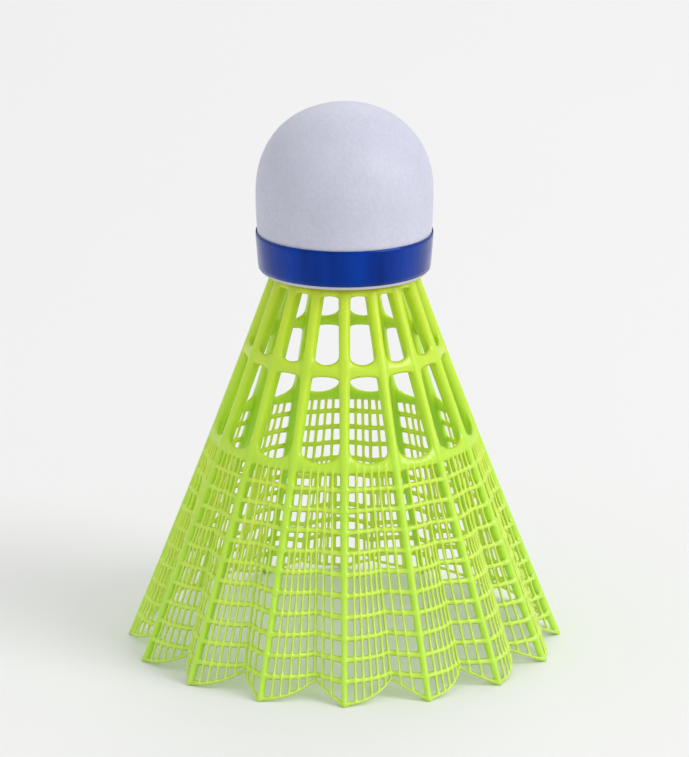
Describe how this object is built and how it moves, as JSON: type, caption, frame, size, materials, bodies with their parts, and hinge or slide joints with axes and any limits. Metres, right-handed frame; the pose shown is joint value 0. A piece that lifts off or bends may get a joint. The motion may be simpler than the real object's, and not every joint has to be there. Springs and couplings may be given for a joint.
{
  "type": "badminton shuttlecock",
  "caption": "Badminton shuttlecock: a covered cork base with a tape band, and a moulded nylon skirt of ribs, cross rings, windows and pleated mesh that slows it and keeps it nose first.",
  "frame": {"origin": "on the shuttlecock's axis, level with the tips of the skirt's ribs, on the surface that it stands on", "axes": "+Z along the axis from the open end of the skirt to the nose of the cork; +X through the tip of one rib"},
  "size_m": [0.066, 0.066, 0.0827],
  "materials": {
    "cork": "bare granular cork, matte",
    "cover": "white synthetic leather, fine grain, satin",
    "band": "deep blue plastic tape, glossy",
    "skirt": "fluorescent yellow-green nylon, translucent, satin",
    "label": "black printed paper disc, semi-gloss"
  },
  "bodies": {
    "root": {"cork_base": "cork", "leather_cover": "cover", "blue_band": "band", "skirt": "skirt", "label_disc": "label"}
  },
  "joints": []
}
